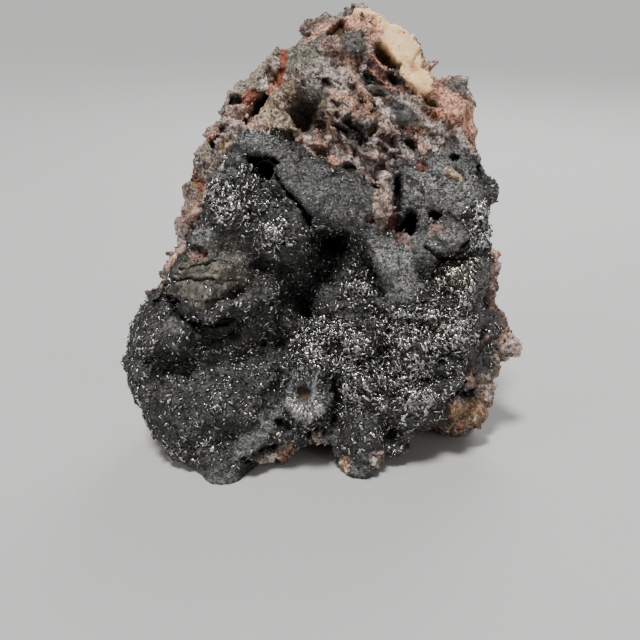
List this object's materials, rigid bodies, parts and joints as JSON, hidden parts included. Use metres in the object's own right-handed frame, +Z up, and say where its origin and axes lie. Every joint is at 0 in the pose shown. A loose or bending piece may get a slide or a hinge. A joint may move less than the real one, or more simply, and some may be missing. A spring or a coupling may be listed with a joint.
{
  "type": "botryoidal hematite specimen",
  "caption": "Natural mineral specimen: a crust of rounded dark grey drusy hematite lobes over broken reddish breccia matrix, with a deep central recess and a rough back.",
  "frame": {"origin": "centre of the specimen's footprint, in the plane that its flat feet rest on", "axes": "+Z up along its height, +X to the right of its lobed face, and the lobed face looks towards -Y and leans back"},
  "size_m": [0.0724, 0.0536, 0.0794],
  "materials": {
    "hematite": "matte"
  },
  "bodies": {
    "root": {"hematite_specimen": "hematite"}
  },
  "joints": []
}
